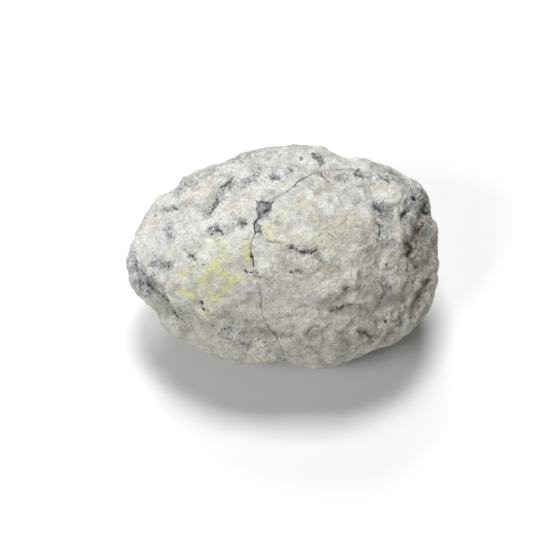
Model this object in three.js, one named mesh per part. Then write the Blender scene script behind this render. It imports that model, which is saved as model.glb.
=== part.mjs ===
// An unopened calcite geode: one rough, chalky, egg-shaped nodule, as long as a palm is wide. Its broad side,
// the cracked face, looks forward and up. A hairline crack runs over that face, through a place where a chip
// of the white rind has come away. The stone lies on a small flat spot on its underside.
// Millimetres, +Z up, +X along the stone's length, the cracked face towards -Y and up.
import * as THREE from "three";
import { ImprovedNoise } from "three/addons/math/ImprovedNoise.js";
import { mergeVertices } from "three/addons/utils/BufferGeometryUtils.js";

// The body, before its outline is shaped
const LENGTH = 111;
const DEPTH = 84;
const HEIGHT = 71.3;
const FOOT_CUT = 1.3; // how much of the underside the flat spot takes off

// The cracked face: how far it leans up from upright, and the distance that its layout is drawn from
const FACE_LEAN = THREE.MathUtils.degToRad(50);
const SIGHT = 620;

// Broad swells of the body, and lumps and hollows of its rind: wavelength and height
const SWELLS = [
  { wave: 44, height: 3.4 },
  { wave: 21, height: 2.3 },
];
const LUMPS = [
  { wave: 12, height: 1.9 },
  { wave: 6.5, height: 1.0 },
];
const NOISE_SHIFT = 17.3; // keeps the wavelengths from lining up

// Where the pull to the outline starts and ends, from 0 at the face's middle to 1 at its rim. The outline's
// small turns and the fading of the swells are held to the rim.
const PULL_REACH = [0.3, 0.97];
const TURN_REACH = [0.84, 0.97];
const RIM_REACH = [0.92, 0.99];
const RIM_LUMPS = 0.5; // what is left of the lumps at the rim
const FOOT_REACH = [0.92, 0.985]; // how far down the surface faces where the relief fades to the flat spot

// Triangle sizes: pieces per icosahedron edge, then the edge length wanted beside a crack, beside a ledge and
// elsewhere, how much it grows for each mm away from them, and how much longer an edge is before it is split
const BODY_SPLITS = 17;
const FINE_EDGE = 1.0;
const LEDGE_EDGE = 1.7;
const BODY_EDGE = 5;
const EDGE_GROWTH = 0.8;
const EDGE_SLACK = 1.4;
const MOST_PASSES = 8;
const SNAP = 0.3; // a corner nearer to a cut than this much of its shortest edge is moved onto the cut
const CUT_MARGIN = 0.12; // an edge isn't split nearer to its ends than this much of its length
const AIM_ROUNDS = 12;
const SAME_CORNER = 1e-5; // corners of the unit ball nearer than this are one

// Every place on a face is [right, up] in mm from its middle, as seen from SIGHT away.
// The stone's outline as the cracked face shows it, from its right tip over the top
const OUTLINE = [
  [55.6, 0.9], [55, 4.8], [55.7, 9.8], [52.6, 14], [53.1, 20.8], [50, 25.8], [43.9, 29.3], [34.3, 33.3],
  [22.7, 34.9], [19.6, 35.9], [15.8, 38.9], [7.3, 39.8], [0, 39.7], [-10.6, 38.1], [-14.8, 36.7],
  [-17.6, 34.8], [-22.5, 33.4], [-28.3, 30.8], [-35.3, 27.7], [-37.7, 22.4], [-41.8, 21.2], [-47.2, 17],
  [-51.4, 8.5], [-55.6, -2.8], [-54.1, -9.8], [-50.4, -14.6], [-46.6, -16.2], [-44.1, -19], [-41, -25.4],
  [-37.6, -28.2], [-31.4, -30.5], [-23.7, -35.4], [-12.9, -37.3], [0, -37.1], [10.4, -39.2], [16.2, -39.4],
  [22.9, -37], [32.8, -33], [39.6, -30.8], [45.8, -26.2], [52, -19.2], [54.4, -11], [55.1, -2.8],
];

// The chip: its corners, how deep its floor lies at its left side, and how fast the floor falls to the right
const CHIP = [
  [-8.9, 19.4], [-7.1, 20.1], [-5.1, 20], [-2.8, 19.6], [-3.5, 17.2], [-4.7, 14.9], [-6.8, 13.5],
  [-9.3, 12.1], [-8.9, 15.4], [-9.1, 17.2],
];
const CHIP_DEEP = 0.8;
const CHIP_FALL = 0.16;
const CHIP_WALL = 0.5;

// What lies on the cracked face. A groove is cut to a V from "half" on one side of its path to "half" on the
// other, and its ends run out. A ledge stands high on the left hand of its path and dies away from it, with a
// wall and a hollow on the other hand. Dents under zero are bumps.
const FRONT_CRACKS = [
  {
    half: 0.5, deep: 0.5,
    path: [[28.3, 31], [18.9, 31.2], [14.2, 29.9], [8.1, 28.1], [5.4, 26.2], [1.2, 22.7], [-3.6, 19.2]],
  },
  {
    half: 0.55, deep: 0.8,
    path: [
      [-8, 14.4], [-9.4, 11.8], [-9.3, 8], [-10.6, 4], [-10.8, 0.5], [-10.2, -2.8], [-10, -5.5],
      [-8.3, -10.2],
    ],
  },
  {
    half: 0.5, deep: 0.45,
    path: [
      [-8.6, -9.4], [-7.7, -14.4], [-7.3, -18.2], [-6, -22.5], [-4.1, -26], [-1.4, -29.4], [0.9, -33.6],
      [2.1, -38.5],
    ],
  },
  {
    half: 0.9, deep: 0.8,
    path: [
      [-2.3, 5.2], [1.9, 3.7], [3.8, 3.1], [6.5, 2.1], [8.8, 1.6], [11.6, 1.9], [13.1, -0.7], [14.6, -2.4],
    ],
  },
];
const FRONT_CREVICES = [
  {
    half: 1.8, deep: 1.2,
    path: [[-29.4, 14.6], [-25.6, 15.3], [-24.1, 17.7], [-22.9, 20.4], [-20.6, 22.6], [-18.6, 26]],
  },
  { half: 2.6, deep: 2.2, path: [[53.4, 16.2], [51.2, 15.2], [50, 13.2], [49.3, 10], [48.9, 5.4]] },
  { half: 1.8, deep: 1.5, path: [[48.4, 18.2], [45.8, 16.8], [43.5, 15], [42.5, 12.6]] },
  { half: 2.2, deep: 2.0, path: [[42.6, 6], [45.6, 4.2], [46.4, 1.4], [45.6, -2.4]] },
  { half: 2.4, deep: 1.6, path: [[54.4, -7.6], [51.8, -11.5], [49.3, -15.2], [46.9, -19.2], [42.4, -23]] },
  { half: 2.0, deep: 1.3, path: [[-48.6, -9.6], [-44.9, -12.4], [-41.5, -17], [-38, -20], [-35.5, -25.2]] },
];
const FRONT_LEDGES = [
  {
    high: 1.1, fade: 7,
    path: [[-47, 13.6], [-41.4, 17], [-38, 17.6], [-33.4, 19.4], [-27.2, 23.9], [-24.5, 25.8], [-19, 29.4]],
  },
  { high: 0.9, fade: 8, path: [[6.5, 27.2], [11, 29.2], [16.2, 31.8], [18.4, 35]] },
  { high: 1.1, fade: 7, path: [[12.6, -15], [16.2, -13.9], [20, -13], [24.4, -11.1], [28.6, -10.6]] },
  {
    high: 1.1, fade: 6,
    path: [[15.4, -21], [18.5, -19.4], [22.3, -17.5], [26.2, -16.9], [31.6, -16.7], [35.4, -15.4]],
  },
  { high: 0.9, fade: 6, path: [[9, -29.6], [10.2, -26.4], [13.1, -26], [17.3, -24.3], [21, -23.6]] },
  { high: 1.2, fade: 6, path: [[-31, -28.4], [-34.6, -25.8], [-38.6, -19], [-43.6, -13.4], [-48.2, -10.4]] },
];
const FRONT_DENTS = [
  { at: [35.2, 16], half: 4, deep: 1.9 },
  { at: [34.6, 10.6], half: 1.8, deep: 0.8 },
  { at: [41.2, 20.8], half: 3.4, deep: -1.5 },
  { at: [47.1, 20.8], half: 1.2, deep: 1.2 },
  { at: [-19.4, 18.4], half: 3.4, deep: -1.2 },
  { at: [-28.3, -17.4], half: 1.2, deep: 1.4 },
  { at: [-32, 0.6], half: 1.7, deep: 1.0 },
  { at: [-13.6, 12.1], half: 1.6, deep: 0.8 },
  { at: [-23, 9], half: 2.2, deep: 0.9 },
  { at: [12.8, 35.4], half: 2.0, deep: 0.8 },
  { at: [37, -23.3], half: 1.6, deep: 0.9 },
  { at: [5, -5.5], half: 1.4, deep: 0.8 },
  { at: [15, 11], half: 13, deep: -1.3 },
  { at: [-25, -8], half: 8, deep: 0.7 },
  { at: [28, -27], half: 4, deep: 0.9 },
  { at: [-3, -19], half: 8, deep: -0.8 },
];

// What lies on the side away from it, laid out in the same way as seen from behind
const BACK_CREVICES = [
  { half: 5, deep: 1.6, path: [[-38, 6], [-30, 9.5], [-21, 8], [-14, 11.5], [-6, 10]] },
  { half: 4.5, deep: 1.4, path: [[18, -22], [24, -15], [25, -7], [31, -1]] },
  { half: 4, deep: 1.1, path: [[-8, -14], [-1, -17], [5, -13.5]] },
];
const BACK_LEDGES = [
  { high: 1.5, fade: 8, foot: 4, path: [[40, 12], [31, 17], [22, 15.5], [12, 20], [3, 19]] },
  { high: 1.4, fade: 8, foot: 4, path: [[-44, -8], [-36, -14], [-27, -13], [-19, -19], [-10, -20]] },
];
const BACK_DENTS = [
  { at: [10, 3], half: 6, deep: 1.6 },
  { at: [-25, -5], half: 4, deep: 1.2 },
  { at: [38, 2], half: 3.5, deep: 1.2 },
  { at: [-12, 23], half: 4.5, deep: 1.2 },
  { at: [-36, 17], half: 2.2, deep: 1.1 },
  { at: [14, -25], half: 2.6, deep: 1.1 },
  { at: [-2, -4], half: 9, deep: -1.2 },
];

const END_RUN = 3; // how far a groove or a ledge takes to run out at its ends
const END_PAST = 0.4; // where its height at its very ends would be nothing, past them
const LEDGE_FOOT = 1.3; // how far out from a sharp ledge's edge its foot is
const LEDGE_HOLLOW = { share: 0.3, fade: 2.5 }; // at a ledge's foot: its share of the height, and its reach
const STONE_COLOUR = 0xd6d3c8;

const noise = new ImprovedNoise();
const { smoothstep, clamp, lerp } = THREE.MathUtils;

// A side of the stone: the way it looks out, its right and its up, and what lies on it
function side(out, right, grooves, ledges, dents) {
  const up = new THREE.Vector3().crossVectors(out, right);
  return { out, right, up, grooves, ledges, dents };
}
const TOWARDS_FACE = new THREE.Vector3(0, -Math.cos(FACE_LEAN), Math.sin(FACE_LEAN));
const ALONG = new THREE.Vector3(1, 0, 0);
const FRONT = side(TOWARDS_FACE, ALONG, [...FRONT_CRACKS, ...FRONT_CREVICES], FRONT_LEDGES, FRONT_DENTS);
const AWAY = [TOWARDS_FACE.clone().negate(), ALONG.clone().negate()];
const BACK = side(...AWAY, BACK_CREVICES, BACK_LEDGES, BACK_DENTS);

// Where a side's viewer sees a point
function seen(point, { out, right, up }) {
  const nearer = SIGHT / (SIGHT - point.dot(out));
  return [point.dot(right) * nearer, point.dot(up) * nearer];
}

const wholeTurn = (angle) => THREE.MathUtils.euclideanModulo(angle, 2 * Math.PI);
const outlineAngles = OUTLINE.map(([x, y]) => wholeTurn(Math.atan2(y, x)));
const outlineRadii = OUTLINE.map(([x, y]) => Math.hypot(x, y));
const BROAD_TURNS = [-25, -20, -15, -10, -5, 0, 5, 10, 15, 20, 25].map(THREE.MathUtils.degToRad);

// The outline's radius at an angle, and its mean around there
function outlineRadius(angle) {
  const turned = wholeTurn(angle);
  const next = outlineAngles.findIndex((a) => a > turned);
  const after = next < 0 ? 0 : next;
  const before = (after + OUTLINE.length - 1) % OUTLINE.length;
  const gap = wholeTurn(outlineAngles[after] - outlineAngles[before]);
  const t = wholeTurn(turned - outlineAngles[before]) / gap;
  return lerp(outlineRadii[before], outlineRadii[after], t);
}

function broadRadius(angle) {
  return BROAD_TURNS.reduce((sum, turn) => sum + outlineRadius(angle + turn), 0) / BROAD_TURNS.length;
}

// The smooth body's half height as the face shows it, and its radius there at an angle
const BODY_HALF_UP = Math.hypot((DEPTH / 2) * Math.sin(FACE_LEAN), (HEIGHT / 2) * Math.cos(FACE_LEAN));
function bodyRadius(angle) {
  return 1 / Math.hypot(Math.cos(angle) / (LENGTH / 2), Math.sin(angle) / BODY_HALF_UP);
}

function noiseSum(waves, { x, y, z }) {
  return waves.reduce((sum, { wave, height }, i) => {
    const shift = NOISE_SHIFT * (i + 1);
    return sum + height * noise.noise(x / wave + shift, y / wave - shift, z / wave + 0.5 * shift);
  }, 0);
}

// The nearest place on a path: its distance, the hand of the path that it is on, and how far the ends are
function nearestOn(path, [x, y]) {
  let best = { distance: Infinity, hand: 1, start: 0, end: 0 };
  let walked = 0;
  path.slice(1).forEach(([bx, by], i) => {
    const [ax, ay] = path[i];
    const length = Math.hypot(bx - ax, by - ay);
    const [ux, uy] = [(bx - ax) / length, (by - ay) / length];
    const t = clamp((x - ax) * ux + (y - ay) * uy, 0, length);
    const [nx, ny] = [ax + t * ux, ay + t * uy];
    const distance = Math.hypot(x - nx, y - ny);
    if (distance < best.distance) {
      const hand = ux * (y - ay) - uy * (x - ax) >= 0 ? 1 : -1;
      best = { distance, hand, start: walked + t, place: [nx, ny] };
    }
    walked += length;
  });
  return { ...best, end: walked - best.start };
}

const runOut = ({ start, end }) => smoothstep(Math.min(start, end), -END_PAST, END_RUN);

function grooveDepth({ path, half, deep }, at) {
  const near = nearestOn(path, at);
  return near.distance < half ? deep * (1 - near.distance / half) * runOut(near) : 0;
}

function ledgeHeight({ path, high, fade, foot = LEDGE_FOOT }, at) {
  const near = nearestOn(path, at);
  const inward = near.distance * near.hand;
  if (inward > 0) return high * Math.exp(-inward / fade) * runOut(near);
  const wall = clamp(1 + inward / foot, 0, 1);
  const hollow = LEDGE_HOLLOW.share * Math.exp(Math.min(inward + foot, 0) / LEDGE_HOLLOW.fade) * (1 - wall);
  return high * (wall - hollow) * runOut(near);
}

function dentDepth({ at: [x, y], half, deep }, at) {
  return deep * Math.exp(-(Math.hypot(at[0] - x, at[1] - y) ** 2) / half ** 2);
}

// How far inside the chip's outline a place is: over zero inside
function insideChip(at) {
  const { distance } = nearestOn([...CHIP, CHIP[0]], at);
  const crossings = CHIP.filter(([bx, by], i) => {
    const [ax, ay] = CHIP[(i + CHIP.length - 1) % CHIP.length];
    return ay > at[1] !== by > at[1] && at[0] < ((bx - ax) * (at[1] - ay)) / (by - ay) + ax;
  });
  return crossings.length % 2 ? distance : -distance;
}

function chipDepth(at) {
  const floor = CHIP_DEEP + CHIP_FALL * (at[0] - CHIP[0][0]);
  return floor * clamp(insideChip(at) / CHIP_WALL, 0, 1);
}

// What a side adds to the body at a point with this outward normal
function relief(point, normal, face) {
  const shown = smoothstep(normal.dot(face.out), 0, 0.3);
  if (shown === 0) return 0;
  const at = seen(point, face);
  const hollows = face.grooves.map((groove) => grooveDepth(groove, at));
  const deepest = Math.max(face === FRONT ? chipDepth(at) : 0, ...hollows);
  const ledges = face.ledges.reduce((sum, ledge) => sum + ledgeHeight(ledge, at), 0);
  const dents = face.dents.reduce((sum, dent) => sum + dentDepth(dent, at), 0);
  return (ledges - dents - deepest) * shown;
}

// The body in a direction from its middle: an ellipsoid with swells and lumps, smooth around the spot that it
// rests on. In the plane of the face it is pulled out to the outline, whose small turns only shape its rim.
function bodyPoint(direction) {
  const halves = new THREE.Vector3(LENGTH / 2, DEPTH / 2, HEIGHT / 2);
  const point = direction.clone().multiply(halves);
  const normal = direction.clone().divide(halves).normalize();
  const [u, v, w] = [point.dot(FRONT.right), point.dot(FRONT.up), point.dot(FRONT.out)];
  const angle = Math.atan2(v, u);
  const reach = Math.hypot(u, v) / bodyRadius(angle);
  const broad = broadRadius(angle);
  const pull = lerp(1, broad / bodyRadius(angle), smoothstep(reach, ...PULL_REACH));
  const stretch = pull * lerp(1, outlineRadius(angle) / broad, smoothstep(reach, ...TURN_REACH));
  const offFoot = 1 - smoothstep(-normal.z, ...FOOT_REACH);
  const offRim = 1 - smoothstep(reach, ...RIM_REACH);
  const lumps = noiseSum(LUMPS, point) * lerp(RIM_LUMPS, 1, offRim);
  const rough = (noiseSum(SWELLS, point) * offRim + lumps) * offFoot;
  point.set(0, 0, 0);
  point.addScaledVector(FRONT.right, u * stretch);
  point.addScaledVector(FRONT.up, v * stretch);
  point.addScaledVector(FRONT.out, w);
  point.addScaledVector(normal, rough);
  return { point, normal };
}

// The stone's surface in a direction from its middle, with the flat spot that it rests on
function stonePoint(direction) {
  const { point, normal } = bodyPoint(direction);
  point.addScaledVector(normal, relief(point, normal, FRONT) + relief(point, normal, BACK));
  point.z = Math.max(point.z, FOOT_CUT - HEIGHT / 2);
  return point;
}

// A path moved sideways towards its left hand
function beside(path, by) {
  return path.map(([x, y], i) => {
    const [ax, ay] = path[Math.max(i - 1, 0)];
    const [ex, ey] = path[Math.min(i + 1, path.length - 1)];
    const length = Math.hypot(ex - ax, ey - ay);
    return [x - (by * (ey - ay)) / length, y + (by * (ex - ax)) / length];
  });
}

// The lines that the mesh is cut along, so that the cracks, the chip and the ledges come out sharp
const chipRing = [...CHIP, CHIP[0]];
const cutsAt = (edge, paths) => paths.map((path) => ({ path, edge }));
const lipsOf = ({ path, half }) => [beside(path, half), path, beside(path, -half)];
const CUTS = [
  ...cutsAt(FINE_EDGE, FRONT_CRACKS.flatMap(lipsOf)),
  ...cutsAt(FINE_EDGE, [chipRing, beside(chipRing, -CHIP_WALL)]),
  ...cutsAt(LEDGE_EDGE, FRONT_CREVICES.map(({ path }) => path)),
  ...cutsAt(LEDGE_EDGE, FRONT_LEDGES.flatMap(({ path }) => [path, beside(path, -LEDGE_FOOT)])),
];

// A mesh of directions from the stone's middle, whose triangles can be split and cut
class DirectionMesh {
  constructor(splits) {
    const ball = new THREE.IcosahedronGeometry(1, splits - 1);
    ball.deleteAttribute("normal");
    ball.deleteAttribute("uv");
    const merged = mergeVertices(ball, SAME_CORNER);
    const corners = merged.getAttribute("position");
    this.directions = [];
    this.points = [];
    this.places = [];
    for (let i = 0; i < corners.count; i++) this.add(new THREE.Vector3().fromBufferAttribute(corners, i));
    const index = Array.from(merged.index.array);
    this.triangles = Array.from({ length: index.length / 3 }, (_, i) => index.slice(3 * i, 3 * i + 3));
  }

  add(direction) {
    return this.put(this.directions.length, direction.clone().normalize());
  }

  // Sets a corner's direction, with its point on the body and its place on the cracked face, if it is there
  put(corner, direction) {
    const { point, normal } = bodyPoint(direction);
    this.directions[corner] = direction;
    this.points[corner] = point;
    this.places[corner] = normal.dot(FRONT.out) > 0 ? seen(point, FRONT) : null;
    return corner;
  }

  between(a, b, t) {
    return this.directions[a].clone().lerp(this.directions[b], t);
  }

  // The direction near the given one that is seen at a place
  aim(direction, [x, y]) {
    const aimed = direction.clone().normalize();
    for (let round = 0; round < AIM_ROUNDS; round++) {
      const at = seen(bodyPoint(aimed).point, FRONT);
      aimed.addScaledVector(FRONT.right, (2 * (x - at[0])) / DEPTH);
      aimed.addScaledVector(FRONT.up, (2 * (y - at[1])) / DEPTH);
      aimed.normalize();
    }
    return aimed;
  }

  edgeKey(a, b) {
    return a < b ? `${a}_${b}` : `${b}_${a}`;
  }

  edgesOf([a, b, c]) {
    return [[a, b], [b, c], [c, a]];
  }

  lengthOf([a, b]) {
    return this.points[a].distanceTo(this.points[b]);
  }

  longest(edges) {
    return edges.reduce((best, edge) => (this.lengthOf(edge) > this.lengthOf(best) ? edge : best));
  }

  longestOf(triangle) {
    return this.longest(this.edgesOf(triangle));
  }

  wantedEdge([a, b]) {
    const { point, normal } = bodyPoint(this.between(a, b, 0.5).normalize());
    if (normal.dot(FRONT.out) < 0) return BODY_EDGE;
    const at = seen(point, FRONT);
    const wanted = CUTS.map(({ path, edge }) => edge + EDGE_GROWTH * nearestOn(path, at).distance);
    return Math.min(BODY_EDGE, ...wanted);
  }

  // Splits every triangle that has new corners on its edges: "middles" gives them by edge key
  splitAt(middles) {
    const middle = (a, b) => middles.get(this.edgeKey(a, b));
    this.triangles = this.triangles.flatMap((triangle) => {
      const split = this.edgesOf(triangle).filter(([a, b]) => middle(a, b) !== undefined);
      if (!split.length) return [triangle];
      const [a, b] = this.longest(split);
      const c = triangle.find((corner) => corner !== a && corner !== b);
      const [m, left, right] = [middle(a, b), middle(c, a), middle(b, c)];
      if (left !== undefined && right !== undefined) {
        return [[a, m, left], [m, b, right], [left, m, right], [left, right, c]];
      }
      if (left !== undefined) return [[a, m, left], [left, m, c], [m, b, c]];
      if (right !== undefined) return [[a, m, c], [m, b, right], [m, right, c]];
      return [[a, m, c], [m, b, c]];
    });
  }

  // Splits long edges in the middle, a triangle's longest one always first, so that they stay well shaped
  refine() {
    for (let pass = 0; pass < MOST_PASSES; pass++) {
      const marked = new Map();
      const isMarked = ([a, b]) => marked.has(this.edgeKey(a, b));
      const mark = (edge) => marked.set(this.edgeKey(...edge), edge);
      const longest = this.triangles.map((triangle) => this.longestOf(triangle));
      longest.filter((edge) => this.lengthOf(edge) > EDGE_SLACK * this.wantedEdge(edge)).forEach(mark);
      if (!marked.size) return;
      for (let before = -1; before !== marked.size; ) {
        before = marked.size;
        this.triangles.forEach((triangle, i) => {
          if (this.edgesOf(triangle).some(isMarked)) mark(longest[i]);
        });
      }
      const middles = [...marked].map(([name, [a, b]]) => [name, this.add(this.between(a, b, 0.5))]);
      this.splitAt(new Map(middles));
    }
  }

  // Moves corners that are close to a path onto it, then splits the edges that still cross it
  cutAlong(path, held) {
    const shortest = new Map();
    const edges = new Map();
    this.triangles.flatMap((triangle) => this.edgesOf(triangle)).forEach((edge) => {
      if (!this.places[edge[0]] || !this.places[edge[1]]) return;
      const length = this.lengthOf(edge);
      edges.set(this.edgeKey(...edge), edge);
      edge.forEach((corner) => shortest.set(corner, Math.min(shortest.get(corner) ?? length, length)));
    });
    shortest.forEach((length, corner) => {
      const { distance, place } = nearestOn(path, this.places[corner]);
      if (held.has(corner) || distance > SNAP * length) return;
      this.put(corner, this.aim(this.directions[corner], place));
      held.add(corner);
    });
    const middles = new Map();
    edges.forEach(([a, b], name) => {
      const crossing = crossingOf(path, this.places[a], this.places[b]);
      if (!crossing || Math.min(crossing.t, 1 - crossing.t) < CUT_MARGIN) return;
      const corner = this.add(this.aim(this.between(a, b, crossing.t), crossing.place));
      held.add(corner);
      middles.set(name, corner);
    });
    this.splitAt(middles);
  }
}

// Where the line from p to q first meets a path: how far along the line, and the place
function crossingOf(path, p, q) {
  const [dx, dy] = [q[0] - p[0], q[1] - p[1]];
  for (let i = 1; i < path.length; i++) {
    const [ax, ay] = path[i - 1];
    const [ex, ey] = [path[i][0] - ax, path[i][1] - ay];
    const across = dx * ey - dy * ex;
    const t = ((ax - p[0]) * ey - (ay - p[1]) * ex) / across;
    const s = ((ax - p[0]) * dy - (ay - p[1]) * dx) / across;
    if (t > 0 && t < 1 && s >= 0 && s <= 1) return { t, place: [p[0] + t * dx, p[1] + t * dy] };
  }
  return null;
}

// The stone as one closed mesh, standing on z = 0 with the middle of its box over the origin
function stoneGeometry() {
  const mesh = new DirectionMesh(BODY_SPLITS);
  mesh.refine();
  const held = new Set();
  CUTS.forEach(({ path }) => mesh.cutAlong(path, held));
  const geometry = new THREE.BufferGeometry().setFromPoints(mesh.directions.map(stonePoint));
  geometry.setIndex(mesh.triangles.flat());
  geometry.computeBoundingBox();
  const box = geometry.boundingBox;
  const middle = box.getCenter(new THREE.Vector3());
  geometry.translate(-middle.x, -middle.y, -box.min.z);
  geometry.computeVertexNormals();
  return geometry;
}

const stoneMaterial = new THREE.MeshStandardMaterial({ color: STONE_COLOUR, roughness: 0.95, metalness: 0 });
const geode = new THREE.Mesh(stoneGeometry(), stoneMaterial);
geode.name = "geode";

const part = new THREE.Group();
part.add(geode);

export default part;
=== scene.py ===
"""The look of the unopened calcite geode: a chalky, cream-white nodule with a hairline crack, a chip in its
rind, blue-grey specks and faint yellow chalk smears, lying on a pale floor.

The solid from the CAD gives the form. Its mesh is made finer here, roughened, and carved with the hairline
crack, the crevices and the pits, and the chip's floor is broken up. Colours come from masks on the mesh's
points, broken up by noise in the material. Places on the cracked face are (right, up) in mm from the layout's
middle, as seen from SIGHT mm away.
"""

import math
from types import SimpleNamespace

import bpy
import numpy as np
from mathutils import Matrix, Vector, noise


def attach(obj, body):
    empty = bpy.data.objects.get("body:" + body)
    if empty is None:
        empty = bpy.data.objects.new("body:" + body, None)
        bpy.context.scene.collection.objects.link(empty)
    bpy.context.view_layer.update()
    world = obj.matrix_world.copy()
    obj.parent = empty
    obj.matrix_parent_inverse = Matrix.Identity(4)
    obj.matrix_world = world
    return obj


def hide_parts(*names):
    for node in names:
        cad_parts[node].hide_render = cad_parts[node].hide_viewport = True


MM = 0.001

# The face's layout: its middle in the row frame in mm, its lean and the distance it is drawn from
MIDDLE = np.array([-0.28, -0.56, 34.35])
FACE_LEAN = math.radians(50)
SIGHT = 620.0
FACE_OUT = np.array([0.0, -math.cos(FACE_LEAN), math.sin(FACE_LEAN)])
FACE_RIGHT = np.array([1.0, 0.0, 0.0])
FACE_UP = np.cross(FACE_OUT, FACE_RIGHT)

# Camera: what a pixel spans in mm at the layout's middle, and how many pixels right and up of the picture's
# centre that middle is
IMAGE_PX = 560
SENSOR_MM = 36.0
MM_PER_PX = 0.355
MIDDLE_PX = (1.5, 23.5)

# Cracks: half width and depth in mm, how dark and how rusty they are, and their paths
CRACKS = [
    {
        "half": 0.16, "deep": 0.2, "dark": 0.62, "rust": 0.4,
        "path": [(28.3, 31), (23.5, 31.3), (18.9, 31.2), (14.2, 29.9), (11, 29.3), (8.1, 28.1)],
    },
    {
        "half": 0.18, "deep": 0.3, "dark": 0.85, "rust": 0.0,
        "path": [(8.1, 28.1), (5.4, 26.2), (3.4, 24.1), (1.2, 22.7)],
    },
    {
        "half": 0.15, "deep": 0.2, "dark": 0.25, "rust": 1.0,
        "path": [(1.2, 22.7), (-0.7, 21.3), (-3, 19.8)],
    },
    {
        "half": 0.3, "deep": 0.5, "dark": 1.0, "rust": 0.0,
        "path": [(-8.7, 13.4), (-9.6, 11.8), (-9.6, 10.2), (-9.3, 8.3)],
    },
    {
        "half": 0.2, "deep": 0.35, "dark": 0.75, "rust": 0.3,
        "path": [(-9.3, 8.3), (-9.9, 7), (-10.4, 5.4), (-10.7, 3.6), (-10.8, 0.5)],
    },
    {
        "half": 0.3, "deep": 0.5, "dark": 1.0, "rust": 0.0,
        "path": [(-10.5, -0.1), (-10.2, -1.6), (-10.05, -3.3)],
    },
    {
        "half": 0.2, "deep": 0.2, "dark": 0.5, "rust": 0.5,
        "path": [(-10.05, -3.3), (-10, -5.5), (-9.6, -8.2), (-8.1, -10.2)],
    },
    {
        "half": 0.18, "deep": 0.3, "dark": 0.65, "rust": 0.7,
        "path": [(-8.1, -10.2), (-7.5, -12.4), (-7.1, -15.8), (-7.3, -18.2), (-6.7, -20.6), (-6, -22.5),
                 (-4.9, -24.6), (-4.1, -26), (-2.6, -27.8), (-1.4, -29.4), (-0.4, -31.6), (0.9, -33.6),
                 (0.9, -35.2), (2.1, -38)],
    },
]
# The solid's grooves for these lines are wider than the lines, so they are closed first, in small rounds. The
# closing fades beside them between two distances in mm.
SOLID_GROOVES = [
    [(28.3, 31), (18.9, 31.2), (14.2, 29.9), (8.1, 28.1), (5.4, 26.2), (1.2, 22.7), (-3.6, 19.2)],
    [(-8.6, 13.4), (-9.4, 11.8), (-9.3, 8), (-10.6, 4), (-10.8, 0.5), (-10.2, -2.8), (-10, -5.5),
     (-8.3, -10.2)],
    [(-8.6, -9.4), (-7.7, -14.4), (-7.3, -18.2), (-6, -22.5), (-4.1, -26), (-1.4, -29.4), (0.9, -33.6),
     (2.1, -38.5)],
    [(-2.3, 5.2), (1.9, 3.7), (3.8, 3.1), (6.5, 2.1), (8.8, 1.6), (11.6, 1.9), (13.1, -0.7), (14.6, -2.4)],
]
GROOVE_REACH = (1.5, 3.0)
GROOVE_ROUNDS = 30
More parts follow.
